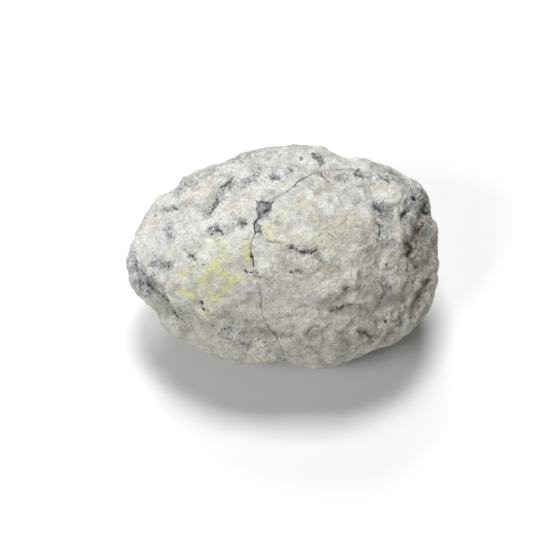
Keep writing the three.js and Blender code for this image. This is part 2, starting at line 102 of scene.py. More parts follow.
# Ragged crumbly hollows: path, half width and depth in mm, how dark; the dark is partly the crumbs' own,
# partly painted shade, and under the ledges low on the right it is painted shadow
CREVICES = [
    ([(-3.4, 5.3), (-1.2, 5.1), (0.2, 4.7)], 0.8, 0.2, 0.4),
    ([(1.2, 4.3), (2.9, 3.5)], 0.6, 0.3, 0.6),
    ([(3.2, 3.4), (5.4, 2.7), (6.3, 2.1)], 1.0, 0.5, 0.75),
    ([(6.1, 2.1), (8, 1.7), (11.2, 1.2)], 1.0, 0.5, 0.85),
    ([(10.8, 1.9), (12.6, 2.4)], 0.8, 0.35, 0.9),
    ([(5.9, 3.4), (6.3, 5)], 0.9, 0.15, 0.45),
    ([(12.3, 0.2), (14.1, -1.4)], 1.0, 0.3, 0.75),
    ([(-0.6, -3), (1.4, -3.3), (2.6, -4)], 0.4, 0.2, 0.4),
    ([(4.8, -5.3), (6, -5.2), (7, -6)], 0.5, 0.3, 0.9),
    ([(-7, 12.8), (-3, 12.4)], 0.5, 0.15, 0.4),
    ([(-34.4, 2.4), (-33, 1), (-31.9, 0.1), (-30.8, -0.9)], 0.7, 0.15, 0.75),
    ([(-33.4, -0.3), (-31.9, 0.2), (-30, 1.7)], 0.6, 0.1, 0.75),
    ([(-32.2, -1.6), (-31.9, 0.2), (-32.4, 2.6)], 0.5, 0.1, 0.6),
    ([(-23.6, 9.3), (-22.9, 11.2)], 0.7, 0.3, 0.75),
    ([(-26.2, 9.2), (-25, 10), (-23.6, 9.3)], 0.6, 0.2, 0.7),
    ([(-25, 7.6), (-23.6, 9.3)], 0.6, 0.2, 0.7),
    ([(-23.6, 9.3), (-22, 9.3), (-21.1, 8.1)], 0.7, 0.3, 0.75),
    ([(-24, 6.3), (-23, 5.9), (-21.8, 6.2)], 0.5, 0.2, 0.65),
    ([(-14.4, 11.5), (-13.8, 12.3), (-12.6, 12)], 0.9, 0.3, 0.7),
    ([(-13.4, -4.7), (-12, -5.8)], 0.45, 0.2, 0.85),
    ([(-11.4, -5.5), (-10.2, -5.6)], 0.7, 0.2, 1.0),
    ([(-9.7, -5.4), (-8.6, -5.8)], 0.6, 0.2, 0.9),
    ([(-8.9, 10.8), (-8.5, 9)], 0.8, 0.3, 0.5),
    ([(-9.6, -6.8), (-7.4, -7.4), (-5, -8)], 0.9, 0.2, 0.6),
    ([(-8.9, -1.2), (-8.8, -2.6)], 0.8, 0.2, 0.4),
    ([(-13.6, 5.9), (-11, 6)], 0.35, 0.15, 0.4),
    ([(-28.3, 14.8), (-25.6, 15.4), (-24.1, 17.7), (-22.9, 20.4)], 0.8, 0.5, 0.75),
    ([(-22.2, 21.4), (-20.6, 22.6), (-19.3, 25), (-17.5, 27.7)], 0.6, 0.4, 0.55),
    ([(-21.8, 24.6), (-19.8, 25.6)], 0.6, 0.3, 0.9),
    ([(-19.6, 25.8), (-16.8, 28.7)], 0.45, 0.3, 0.8),
    ([(-27.2, 23.9), (-24.5, 25.8), (-20.6, 28.5)], 0.4, 0.35, 0.35),
    ([(-14.2, 26.9), (-12.4, 25.6), (-9.7, 26.8)], 0.4, 0.2, 0.45),
    ([(-3.2, 27.9), (-1, 27.6)], 0.8, 0.3, 0.7),
    ([(-8.6, 35.6), (-4.8, 35.3)], 0.4, 0.2, 0.6),
    ([(-22.6, 30.2), (-19.4, 30.5)], 0.4, 0.2, 0.5),
    ([(-17.6, 33.6), (-13.9, 33.6)], 0.4, 0.2, 0.5),
    ([(10.6, 36.6), (13, 36), (14.6, 34)], 0.7, 0.3, 0.7),
    ([(14, 29.6), (15.4, 27.8), (16.8, 26.6)], 0.55, 0.25, 0.9),
    ([(19.5, 28.4), (24, 28)], 0.7, 0.2, 0.45),
    ([(25.8, 30), (27.6, 28.8), (30.1, 28.4)], 0.7, 0.3, 0.85),
    ([(34.7, 28.2), (37.8, 26.7)], 0.6, 0.3, 0.9),
    ([(37.2, 30.4), (41.3, 29)], 0.8, 0.3, 0.6),
    ([(33.4, 17.8), (35.2, 16.2)], 1.3, 0.3, 0.85),
    ([(33.4, 13), (35, 10.9), (35.2, 8.9), (34.5, 6.9)], 0.5, 0.35, 0.85),
    ([(43.1, 14.8), (42.5, 13.2)], 0.5, 0.4, 0.85),
    ([(43.3, 15.2), (45.2, 16.2)], 0.8, 0.3, 0.65),
    ([(45.6, 16.6), (46.5, 18)], 0.7, 0.2, 0.45),
    ([(51.2, 18.4), (50.6, 16.4)], 0.9, 0.4, 0.8),
    ([(50.4, 12.4), (49.8, 10.8), (49.2, 9.8)], 0.9, 0.5, 0.85),
    ([(49.1, 9.8), (48.7, 7.6), (48.3, 5.6), (47.6, 2.8)], 0.6, 0.4, 0.7),
    ([(45.2, 4.2), (46, 3.4)], 0.8, 0.6, 1.0),
    ([(45.4, 3.8), (45.9, 2.4), (45.2, 0.2)], 1.0, 0.6, 0.95),
    ([(44.2, 0.6), (45, 0.1)], 0.6, 0.3, 0.6),
    ([(42.9, 6), (43.6, 4.8), (45.2, 4.2)], 0.6, 0.4, 0.85),
    ([(52.3, -8), (51.7, -10), (51.4, -12)], 0.45, 0.5, 0.8),
    ([(49.8, -12.8), (48.3, -17.8), (46.5, -20.8)], 2.0, 0.8, 0.15),
    ([(40, -1.5), (40, -6)], 0.3, 0.15, 0.35),
    ([(49.6, -9.2), (52.6, -8.8)], 0.7, 0.5, 0.45),
    ([(43.3, 22.4), (40, 21), (37, 19.8)], 0.9, 0.35, 0.1),
    ([(47.6, -3.5), (48.9, -4.1)], 0.6, 0.3, 0.75),
    # Painted shadows under the two ledges low on the right
    ([(22, -12), (24.6, -11.3)], 1.0, 0.6, 0.85),
    ([(16.2, -14.2), (19.5, -13.4)], 0.7, 0.5, 0.4),
    ([(17.9, -19.6), (20, -18.6), (22, -18)], 1.1, 0.7, 0.85),
    ([(22, -18), (26, -17.2), (30, -17.6)], 0.7, 0.5, 0.5),
    ([(9.4, -27.6), (10.8, -25.6), (12.9, -24.8)], 0.9, 0.6, 0.6),
    ([(15.4, -25.4), (18, -24.2)], 0.7, 0.5, 0.6),
    ([(27.4, -26.6), (30, -27.4), (32.4, -28.6)], 0.9, 0.4, 0.85),
    ([(-47.2, -10.4), (-42.6, -14.4), (-39.4, -18.4), (-37, -21.5)], 0.7, 0.9, 0.75),
    ([(-42.1, 17), (-40.6, 16)], 0.6, 0.3, 0.85),
    ([(-38.6, 17.4), (-37.1, 16.7)], 0.6, 0.3, 0.8),
    ([(-13.2, -23.1), (-11, -23.4)], 0.5, 0.2, 0.5),
    ([(-14, -31.2), (-12, -31.8)], 0.6, 0.2, 0.55),
    ([(-7, -29.6), (-5.6, -30.6)], 0.6, 0.2, 0.45),
    ([(-20.4, -29.3), (-18.6, -29.4)], 0.5, 0.2, 0.55),
    ([(-17, -15.6), (-14.4, -15.2)], 0.5, 0.15, 0.4),
    ([(16.2, 8.6), (18.4, 7.2)], 0.5, 0.25, 0.75),
    ([(24, 2.6), (24.3, 1)], 0.4, 0.15, 0.55),
]
# Pits: place, radius, depth and how dark
PITS = [
    ((-10.7, 0.3), 0.75, 0.9, 1.0),
    ((-28.2, -16.9), 0.8, 0.8, 1.0),
    ((-27.8, -18.6), 0.6, 0.7, 0.95),
    ((-26.2, -19.3), 0.8, 0.3, 0.5),
    ((-31.9, 0.2), 0.6, 0.5, 0.8),
    ((-27.6, -2.9), 0.6, 0.3, 0.6),
    ((-40.2, -2.9), 0.9, 0.6, 0.8),
    ((-41.9, -3.6), 0.7, 0.4, 0.5),
    ((-21, 1.2), 0.5, 0.3, 0.5),
    ((-9.7, 3.6), 0.4, 0.2, 0.6),
    ((-13.6, -3.2), 0.6, 0.3, 0.6),
    ((-6.5, 1.9), 0.5, 0.2, 0.5),
    ((-5.2, 7.4), 0.6, 0.3, 0.55),
    ((-4.6, 5.9), 0.5, 0.2, 0.45),
    ((-1.4, 12.5), 0.5, 0.2, 0.4),
    ((47, 20.9), 0.8, 0.8, 0.95),
    ((47.4, 20.2), 0.6, 0.6, 0.9),
    ((51.2, 15.3), 0.9, 0.7, 0.95),
    ((7.1, 34.7), 0.9, 0.4, 0.6),
    ((3.5, 30.8), 1.1, 0.4, 0.5),
    ((27.1, 31), 0.7, 0.4, 0.75),
    ((37, -23.2), 0.8, 0.5, 0.9),
    ((42.7, -14.3), 0.5, 0.3, 0.6),
    ((3.5, -5.7), 0.7, 0.4, 0.9),
    ((16.9, 17.5), 0.6, 0.3, 0.6),
    ((37.3, -2.9), 0.7, 0.4, 0.75),
    ((-48, 3.8), 0.5, 0.3, 0.8),
    ((-45.2, 14.2), 0.6, 0.3, 0.6),
    ((-51.8, -3), 0.6, 0.3, 0.6),
    ((-49, -6.3), 0.7, 0.4, 0.6),
    ((-50.4, -10.4), 0.8, 0.4, 0.6),
]
# The chip in the rind: its outline, how far its floor is lifted and how rough that is in mm, and its dark
# places: from, to, half width and strength
CHIP = [(-9.6, 20.3), (-8.3, 19.6), (-7, 19.6), (-5.4, 19.5), (-4.3, 19.2), (-2.1, 20.2), (-3.2, 18.6),
        (-3.3, 17.4), (-3.6, 15.9), (-4.8, 14.6), (-6.7, 13.7), (-8.3, 12.9), (-9.3, 12.4), (-8.5, 14.2),
        (-8.8, 15.5), (-9.2, 17), (-8.7, 17.9)]
CHIP_LIFT = 0.15
CHIP_ROUGH = 0.3
CHIP_SHADOWS = [
    ((-6.2, 15.8), (-4.8, 16.5), 0.6, 1.0),
    ((-5, 19.2), (-2.4, 19.8), 0.6, 1.0),
    ((-5.2, 18.6), (-4.3, 17.2), 0.9, 0.6),
    ((-9.2, 19.9), (-5.3, 19.4), 0.6, 0.5),
    ((-7.6, 15.2), (-7.9, 13.4), 0.8, 0.65),
    ((-9, 17), (-8.9, 15.6), 0.4, 0.35),
]

# Blue-grey specked patches: from, to, half width and strength
GREY_PATCHES = [
    ((-37.5, 23.2), (-34, 26.6), 2.3, 0.6),
    ((-34, 26.6), (-24, 31), 1.8, 0.5),
    ((-24, 31), (-12, 36), 1.6, 0.5),
    ((-12, 36), (8, 38.4), 2.2, 0.28),
    ((-26.5, 15.4), (-22, 21), 2.0, 0.65),
    ((-22, 21), (-17.5, 27.5), 1.8, 0.6),
    ((-14.2, 25.4), (-9, 28.6), 2.4, 0.6),
    ((-3.2, 27.7), (-1, 27.9), 1.5, 0.8),
    ((-9.5, 30.7), (4.5, 31), 2.4, 0.38),
    ((12.4, 36), (14.6, 33.6), 1.4, 0.8),
    ((16.2, 27.6), (15.4, 29), 0.9, 0.5),
    ((20, 28.4), (23, 28.4), 1.2, 0.6),
    ((26.5, 29.4), (31, 28.4), 1.6, 0.6),
    ((35, 28.6), (41, 29.4), 2.0, 0.55),
    ((38.7, 29.5), (50.5, 22), 2.0, 0.5),
    ((50.4, 22), (50.8, 16.4), 2.3, 0.7),
    ((47.6, 21), (46.4, 16), 2.0, 0.45),
    ((35.4, 12.6), (38.4, 6.6), 2.6, 0.5),
    ((35.4, 8), (36.4, 4.6), 1.8, 0.6),
    ((30, 3), (31.6, 0.6), 1.6, 0.55),
    ((27, 12), (29, 9), 2.0, 0.4),
    ((41, 13.6), (46.4, 11.6), 1.8, 0.6),
    ((52.6, 12.4), (53.2, 8.4), 1.3, 0.5),
    ((33.4, 17.6), (37.6, 14.8), 2.4, 0.8),
    ((47, 12), (51, 4), 3.5, 0.3),
    ((45.6, 17.2), (43.6, 15), 1.3, 0.55),
    ((45.4, 9.8), (45.2, 6), 2.2, 0.5),
    ((51.2, 8), (50.6, 6.2), 1.5, 0.7),
    ((-24.4, 9.4), (-22.2, 8.8), 2.4, 0.8),
    ((-8.8, 11.2), (-8.4, 9.2), 0.9, 1.0),
    ((-17.2, 15), (-16, 13), 1.4, 0.5),
    ((-14.2, 12), (-13.2, 12), 1.7, 0.9),
    ((-40.4, 11), (-39.6, 7.2), 1.9, 0.75),
    ((-38.6, 17.2), (-41.8, 16.6), 1.0, 0.6),
    ((-52.6, 1), (-51.6, -3), 1.8, 0.7),
    ((-51.4, -3.4), (-47.8, -8), 2.9, 0.85),
    ((-50.8, -9), (-47.4, -12.4), 2.6, 0.8),
    ((-45.4, -3), (-40, -3.2), 1.8, 0.8),
    ((-46.4, -11), (-37.4, -19.4), 1.3, 0.25),
    ((-37.4, -19), (-32.6, -21.4), 2.4, 0.4),
    ((36, -9), (37, -12.2), 2.0, 0.75),
    ((41.6, -22.8), (42.4, -23.4), 1.6, 0.8),
    ((28.2, -27.4), (30.6, -26.6), 1.4, 0.4),
    ((4, 3), (12, 1.6), 1.5, 0.6),
    ((12.6, 0), (14, -1.4), 1.3, 0.5),
    ((-19, -27), (-13, -30), 3.4, 0.45),
    ((-24, -22), (-17, -20), 3.0, 0.25),
    ((15, -25), (18, -29), 2.4, 0.25),
    ((-5, 8), (-4.6, 5.6), 1.0, 0.5),
]
# Peach tints
PEACH_PATCHES = [
    ((-33.6, 19.8), (-23, 26.6), 1.3, 0.65),
    ((-19.6, 14.8), (-18.2, 21), 1.5, 0.4),
    ((-36.7, -7.6), (-35.4, -3.6), 2.0, 0.6),
    ((-15.6, -6.6), (-14.2, -7.6), 1.1, 0.6),
    ((8.6, 19.2), (9.2, 18.4), 0.8, 0.9),
    ((-48, 8), (-45, 12.6), 1.8, 0.5),
    ((20, 12), (29, 8), 4.0, 0.2),
    ((34, 24.6), (41, 21), 3.0, 0.2),
    ((-15.5, 17.5), (-12, 20), 2.6, 0.3),
]
# Paler, cooler rind near the top: partly the rind's own tone, partly painted light
PALE_AND_LIT_PATCHES = [
    ((24, 24), (44, 22), 7, 0.8),
    ((8, 32), (26, 33), 4, 0.4),
]
# Dull brown in hollows: partly stains, partly painted shade; the two under the ledges low on the right are
# painted shadows
BROWN_STAINS_AND_SHADE = [
    ((50.6, 13.8), (49.4, 9.6), 1.7, 0.8),
    ((48.6, 14.8), (52.6, 13.6), 1.7, 0.9),
    ((48.4, 6.4), (48, 1.6), 1.6, 0.7),
    ((45, 3.8), (46.2, 0.2), 2.1, 0.85),
    ((42.4, 14.6), (44, 15.4), 1.3, 0.5),
    ((41, 4), (40, -4), 2.6, 0.3),
    ((45, 12), (50, 0), 4.0, 0.3),
    ((44, -4), (34, -12), 5.0, 0.25),
    ((30, -22), (42, -16), 6.5, 0.25),
    ((50.6, -11), (46.8, -20.4), 2.0, 0.6),
    ((28, -26.6), (32.4, -28.6), 2.6, 0.75),
    ((20, -33), (38, -27), 3.0, 0.4),
    # Painted shadows under the two ledges low on the right
    ((22, -11.9), (27, -10.6), 1.7, 0.7),
    ((18, -19.2), (24, -17.6), 1.5, 0.7),
    ((9.4, -27.4), (12.4, -25), 1.4, 0.4),
    ((3.6, -5.5), (6.8, -5.4), 1.2, 0.85),
    ((-3.4, 5.3), (0, 4.8), 1.1, 0.6),
    ((16, -3.4), (20, -4), 2.2, 0.35),
    ((0, 13), (12, 9), 6.0, 0.2),
    ((-9, -6.6), (-5.4, -7.8), 1.3, 0.5),
    ((-6, -27), (-4, -31), 2.6, 0.4),
    ((-32.2, 0.4), (-31.2, -0.4), 1.3, 0.5),
]
# Yellow chalk smears
CHALK_STROKES = [
    ((-12.9, 1.6), (-12.8, -0.2), 1.4, 0.8),
    ((-13.2, 4.2), (-13, 2.4), 1.1, 0.45),
    ((-5.7, 10.6), (-5.1, 9), 1.3, 0.65),
    ((-3.2, 11.2), (-2.8, 9.8), 1.3, 0.3),
    ((-2.2, 17), (0.4, 15.2), 2.6, 0.2),
    ((-4.1, 6.7), (-3.6, 6.2), 0.7, 0.7),
    ((-24.4, 5.4), (-20.6, 3.4), 3.0, 0.27),
    ((-21, 0.9), (-19.4, -0.6), 1.4, 0.45),
    ((-35.4, -6), (-32.2, -5.7), 1.4, 0.5),
    ((-23.8, -2.4), (-26.8, -5), 1.9, 0.75),
    ((-27.6, -6.2), (-28.6, -9.4), 1.2, 0.65),
    ((-22.2, -5.4), (-20.2, -6.2), 1.6, 0.65),
    ((-16.4, -7), (-20.2, -11.6), 1.4, 0.8),
    ((-26, -15), (-22, -13.8), 1.7, 0.6),
    ((-35.6, -12.4), (-32.6, -13.6), 1.6, 0.7),
    ((-28.8, -19.6), (-27, -21.2), 1.4, 0.4),
    ((-26, -10), (-26, -8), 7.0, 0.14),
    ((5, 8), (11, 6), 3.2, 0.08),
    ((13.8, 5.6), (14.8, 5), 1.0, 0.35),
]
# The back's patches, laid out in the same way as seen from behind
BACK_GREY_PATCHES = [
    ((-36, 8), (-20, 9), 2.6, 0.7),
    ((-20, 9), (-8, 11), 2.0, 0.6),
    ((8, 5), (13, 1), 4.0, 0.5),
    ((20, -20), (26, -6), 2.2, 0.7),
    ((36, 20), (24, 28), 3.4, 0.6),
    ((-24, 26), (-8, 31), 3.0, 0.6),
    ((-28, -6), (-23, -4), 3.0, 0.6),
    ((40, 3), (37, -1), 2.4, 0.6),
    ((-10, -25), (8, -29), 3.0, 0.4),
    ((-45, -4), (-42, -12), 2.6, 0.6),
]
BACK_BROWN_PATCHES = [
    ((-34, 6), (-14, 10), 1.8, 0.5),
    ((16, -24), (25, -8), 2.0, 0.5),
    ((-18, -18), (6, -16), 2.4, 0.35),
]

# Where the rind is smoother than elsewhere: from, to, half width and how much
SMOOTH_PLACES = [
    ((-40, 2), (-20, -4), 13, 0.4),
    ((-6, 10), (22, 12), 9, 0.45),
    ((-20, -20), (-30, -14), 9, 0.2),
    ((-7, -10), (7, -13), 8, 0.4),
]
# Where it is rougher
ROUGH_PLACES = [
    ((46, 16), (48, -2), 6, 0.5),
    ((50, -6), (42, -22), 5, 0.3),
    ((36, -26), (0, -36), 4, 0.5),
    ((-46, -12), (-34, -24), 3.5, 0.8),
    ((-34, 26), (-10, 34), 3, 0.5),
    ((-20, -26), (-4, -30), 5, 0.6),
]

# Longest edges of the fine mesh in mm: by cracks, by crevices and pits, on the cracked face, and elsewhere
CRACK_EDGE = 0.36
PIT_EDGE = 0.54
FACE_EDGE = 0.78
FAR_EDGE = 1.15
# How far the shortest edges reach beside a crack and a pit in mm, and how fast edges grow from there
CRACK_BAND = 0.4
PIT_BAND = 0.6
EDGE_GROWTH = 0.6
# How far out from the layout's middle the cracked face's short edges start, and a distance that stands for no
# line, in mm
FACE_START = -6
NO_LINE = 99
# How often edges are halved, and how far new corners go to the planes that touch the surface
MOST_SPLITS = 5
ROUNDING = 0.75

# The rind's relief: layers of noise, each with its height and wave in mm and its seed. The crumbs' heights
# are shares of one that grows with the ruggedness.
SEED_SHIFT = np.array([31.7, -12.3, 7.9])
LUMPS = [(0.4, 8.5, 1), (0.28, 4.8, 2)]
FLAKES = (0.3, 7.0, 3)
CRUMBS = [(1.0, 3.1, 5), (0.8, 1.5, 6)]
CRUMB_HEIGHT = 0.14
RUGGED_CRUMB_HEIGHT = 0.17
# How the flakes run across the face, up to the right, and how far they are drawn out that way
FLAKE_RUN = math.radians(28)
FLAKE_STRETCH = 0.55
# How many steps the flakes have, where a step starts between two levels, and how far the flakes tilt back
FLAKE_LEVELS = 2.6
STEP_START = 0.62
STEP_FALL = 0.45
# How far finer noise jags the steps' edges, and its wave as a part of the flakes'
JAG = 0.5
JAG_WAVE = 0.3

# Where forms fade, as parts of their half width
CRACK_FADE = (0.3, 1.3)
CREVICE_FADE = (0.1, 1.5)
PIT_FADE = (0.35, 1.2)
PATCH_FADE = (0.4, 1.5)
# How far noise moves the edges of forms, in mm
CRACK_WANDER = 0.24
CREVICE_WANDER = 0.45
CREVICE_CRUMBLE = 0.3
PIT_WANDER = 0.6
PIT_CRUMBLE = 0.48
PATCH_SWAY = 1.3
CHIP_RAGGED = 0.2
CHIP_SHADOW_SWAY = 0.3
# How much of the crevices' depth stays where their beds are filled, how much comes and goes with noise, and
# where that noise fades
BED_KEPT = 0.35
BED_VARIES = 0.8
BED_FADE = (-0.4, 0.3)
# Where the chip's edge fades, in mm inside its outline, and how much of the relief its floor loses
CHIP_EDGE = (-0.15, 0.1)
CHIP_FLATTER = 0.6
# How deep hollows in the relief are, in mm, where their painted shade fades in
HOLLOW_FADE = (-0.1, 0.6)
# How far up the cracked face the greyer rind fades in, in mm
HIGH_FADE = (18, 36)
# Painted light: the way across the cracked face in which the rind turns paler, up and to the left where the
# light falls, and between which two values along it
PAINTED_LIGHT_WAY = np.array([-0.6, 0.95])
PAINTED_LIGHT_FADE = (-12, 38)
# How far the rind faces the viewer where the cracked side's marks fade in, and the heights in mm between
# which the relief fades in above the flat foot
SHOWN_FADE = (-0.05, 0.2)
FOOT_FADE = (0.2, 3.0)

# The studio: lights with their places in metres and their power in watts, and a dim world and pale floor
LIGHTS = [
    {"name": "top", "place": (0, 0.25, 1.35), "watts": 16.4},
    {"name": "back", "place": (-0.2, 0.9, 1.0), "watts": 8},
    {"name": "front_left", "place": (-0.7, -0.8, 0.85), "watts": 10.6},
]
LIGHT_SIZE = 0.5
WORLD_STRENGTH = 0.03
FLOOR_HALF = 4.0
FLOOR_GREY = (0.76, 0.76, 0.76, 1.0)


# Mesh


def solid_mesh(node):
    """The CAD node's welded corners in mm and its triangles."""
    mesh = node.data
    mesh.calc_loop_triangles()
    corners = np.empty(len(mesh.vertices) * 3)
    mesh.vertices.foreach_get("co", corners)
    triangles = np.empty(len(mesh.loop_triangles) * 3, np.int64)
    mesh.loop_triangles.foreach_get("vertices", triangles)
    rounded = np.round(corners.reshape(-1, 3) / MM, 3)
    welded, where = np.unique(rounded, axis=0, return_inverse=True)
    triangles = where.reshape(-1)[triangles].reshape(-1, 3)
    a, b, c = triangles.T
    return welded, triangles[(a != b) & (b != c) & (c != a)]


def edges_of(triangles):
    """The edges as pairs of corners, and the three edges ab, bc and ca of each triangle."""
    ends = triangles[:, [0, 1, 1, 2, 2, 0]].reshape(-1, 2)
    edges, edge_of = np.unique(np.sort(ends, axis=1), axis=0, return_inverse=True)
    return edges, edge_of.reshape(-1, 3)


def smoothed(points, triangles):
    """One step of Loop subdivision of a closed mesh."""
    edges, edge_of = edges_of(triangles)
    across = np.zeros((len(edges), 3))
    np.add.at(across, edge_of.reshape(-1), points[triangles[:, [2, 0, 1]].reshape(-1)])
    middles = 0.375 * points[edges].sum(axis=1) + 0.125 * across
    around = np.zeros_like(points)
    count = np.zeros(len(points))
    for near, far in (edges.T, edges.T[::-1]):
        np.add.at(around, near, points[far])
        np.add.at(count, near, 1)
    weight = np.where(count == 3, 3 / 16, 3 / (8 * count))[:, None]
    kept = (1 - count[:, None] * weight) * points + weight * around
    return np.vstack([kept, middles]), quartered(triangles, edge_of + len(points))


def healed(points, triangles, weight):
    """Corners drawn to the middle of their neighbours, as far as weight says, until grooves are closed."""
    edges, _ = edges_of(triangles)
    ends = np.vstack([edges, edges[:, ::-1]])
    count = np.bincount(ends[:, 0], minlength=len(points))[:, None]
    for _ in range(GROOVE_ROUNDS):
        around = np.zeros_like(points)
        np.add.at(around, ends[:, 0], points[ends[:, 1]])
        points = points + weight[:, None] * (around / count - points)
    return points


def quartered(triangles, middles):
    """Each triangle as four, from its corners and the middles of its edges."""
    a, b, c = triangles.T
    ab, bc, ca = middles.T
    parts = [(a, ab, ca), (ab, b, bc), (ca, bc, c), (ab, bc, ca)]
    return np.vstack([np.stack(part, axis=1) for part in parts])


def normals_of(points, triangles):
    """The normals of the corners, from the triangles around them by area."""
    a, b, c = (points[triangles[:, k]] for k in range(3))
    across = np.cross(b - a, c - a)
    normals = np.zeros_like(points)
    for k in range(3):
        np.add.at(normals, triangles[:, k], across)
    return normals / np.linalg.norm(normals, axis=1)[:, None]


def split_long(points, triangles, wanted):
    """Halves each edge longer than its ends want; new corners lie on a rounded surface."""
    edges, edge_of = edges_of(triangles)
    start, end = points[edges[:, 0]], points[edges[:, 1]]
    long = np.linalg.norm(end - start, axis=1) > wanted[edges].mean(axis=1)
    normals = normals_of(points, triangles)
    added = rounded_middles(start, end, normals[edges[:, 0]], normals[edges[:, 1]])[long]
    number = np.full(len(edges), -1)
    number[long] = len(points) + np.arange(long.sum())
    return np.vstack([points, added]), split_triangles(triangles, number[edge_of])


def rounded_middles(start, end, start_normal, end_normal):
    """Middles of edges, moved towards the planes that touch the surface at their ends."""
    middle = (start + end) / 2
    lift = np.zeros_like(middle)
    for place, normal in ((start, start_normal), (end, end_normal)):
        lift -= 0.5 * ((middle - place) * normal).sum(axis=1)[:, None] * normal
    return middle + ROUNDING * lift


def split_triangles(triangles, middles):
    """Triangles split at the middles of their edges that have one; -1 is none."""
    count = (middles >= 0).sum(axis=1)
    parts = [triangles[count == 0]]
    a, b, c, ab, _, _ = turned(triangles, middles, count == 1, lambda m: m.argmax(axis=1))
    parts += [(a, ab, c), (ab, b, c)]
    a, b, c, ab, bc, _ = turned(triangles, middles, count == 2, lambda m: (m.argmin(axis=1) + 1) % 3)
    parts += [(ab, b, bc), (a, ab, bc), (a, bc, c)]
    parts.append(quartered(triangles[count == 3], middles[count == 3]))
    return np.vstack([part if isinstance(part, np.ndarray) else np.stack(part, axis=1) for part in parts])


def turned(triangles, middles, chosen, first_of):
    """Corners and middles of the chosen triangles, turned so that the first edge is the one asked for."""
    corners, marks = triangles[chosen], middles[chosen]
    order = (first_of(marks)[:, None] + np.arange(3)) % 3
    return (*np.take_along_axis(corners, order, 1).T, *np.take_along_axis(marks, order, 1).T)


def fine_mesh(corners, faces):
    """The solid's mesh rounded, its grooves closed, and its edges short where the fine forms are."""
    points, triangles = smoothed(corners, faces)
    points = healed(points, triangles, groove_weight(points))
    wanted = wanted_edge(points)
    for _ in range(MOST_SPLITS):
        points, triangles = split_long(points, triangles, wanted)
        wanted = np.append(wanted, wanted_edge(points[len(wanted):]))
    return points, triangles


# Places on the stone


def smoothstep(x, low, high):
    t = np.clip((x - low) / (high - low), 0, 1)
    return t * t * (3 - 2 * t)


def seen(points, out, right):
    """Where a viewer on a side sees points, in mm."""
    at = points - MIDDLE
    nearer = SIGHT / (SIGHT - at @ out)
    return np.stack([at @ right * nearer, at @ np.cross(out, right) * nearer], axis=1)


def outward(points):
    """How far points are out from the layout's middle, towards the viewer of the cracked face, in mm."""
    return (points - MIDDLE) @ FACE_OUT


def segment_distance(at, start, end):
    start, end = np.array(start, float), np.array(end, float)
    along = end - start
    t = np.clip((at - start) @ along / (along @ along), 0, 1)
    return np.linalg.norm(at - start - t[:, None] * along, axis=1)


def path_distance(at, path):
    return np.min([segment_distance(at, a, b) for a, b in zip(path, path[1:])], axis=0)


def place_distance(at, place):
    return np.linalg.norm(at - np.array(place), axis=1)


def ring_inside(at, ring):
    """How far inside a ring of corners places are: over zero inside."""
    inside = np.zeros(len(at), bool)
    x, y = at.T
    for (ax, ay), (bx, by) in zip(ring, ring[1:] + ring[:1]):
        if ay != by:
            inside ^= ((ay > y) != (by > y)) & (x < (bx - ax) * (y - ay) / (by - ay) + ax)
    return np.where(inside, 1, -1) * path_distance(at, ring + ring[:1])


def faded(distance, half, fade):
    """1 in the middle of a form and 0 beyond its half width, over the parts of it that fade gives."""
    return 1 - smoothstep(distance, fade[0] * half, fade[1] * half)


def patch_mask(at, patches):
    """The strongest of some patches, each fading over its half width."""
    masks = [
        strength * faded(segment_distance(at, start, end), half, PATCH_FADE)
        for start, end, half, strength in patches
    ]
    return np.max(masks, axis=0)


def noise_at(points, wave, seed):
    """Noise between about -1 and 1 at points in mm."""
    places = points / wave + SEED_SHIFT * (1 + 0.37 * seed)
    return np.array([noise.noise(place) for place in places.tolist()])


def wander(points, wave, seed):
    """Noise to the right and up, from a seed and the one after it."""
    return np.stack([noise_at(points, wave, seed), noise_at(points, wave, seed + 1)], axis=1)


def line_distance(points):
    """How far points are from the cracked face's cracks and chip, and from its crevices and pits, in mm."""
    at = seen(points, FACE_OUT, FACE_RIGHT)
    paths = [line["path"] for line in CRACKS] + [CHIP + CHIP[:1]]
    near = np.min([path_distance(at, path) for path in paths], axis=0)
    near_crevice = np.min([path_distance(at, path) for path, *_ in CREVICES], axis=0)
    near_pit = np.min([place_distance(at, place) for place, *_ in PITS], axis=0)
    far = outward(points) < 0
    return np.where(far, NO_LINE, near), np.where(far, NO_LINE, np.minimum(near_crevice, near_pit))


def wanted_edge(points):
    """The longest edge that the fine mesh may have at points, in mm."""
    to_crack, to_pit = line_distance(points)
    by_side = np.where(outward(points) > FACE_START, FACE_EDGE, FAR_EDGE)
    by_crack = CRACK_EDGE + EDGE_GROWTH * np.maximum(to_crack - CRACK_BAND, 0)
    by_pit = PIT_EDGE + EDGE_GROWTH * np.maximum(to_pit - PIT_BAND, 0)
    return np.minimum(by_side, np.minimum(by_crack, by_pit))


def groove_weight(points):
    """1 in the solid's grooves on the cracked face, fading to 0 beside them."""
    at = seen(points, FACE_OUT, FACE_RIGHT)
    near = np.min([path_distance(at, path) for path in SOLID_GROOVES], axis=0)
    return (1 - smoothstep(near, *GROOVE_REACH)) * (outward(points) > 0)


# Form


def billows(points, wave, seed):
    """Round lumps with narrow valleys between them, about -0.6 to 0.8."""
    return 2.4 * np.abs(noise_at(points, wave, seed)) - 0.6


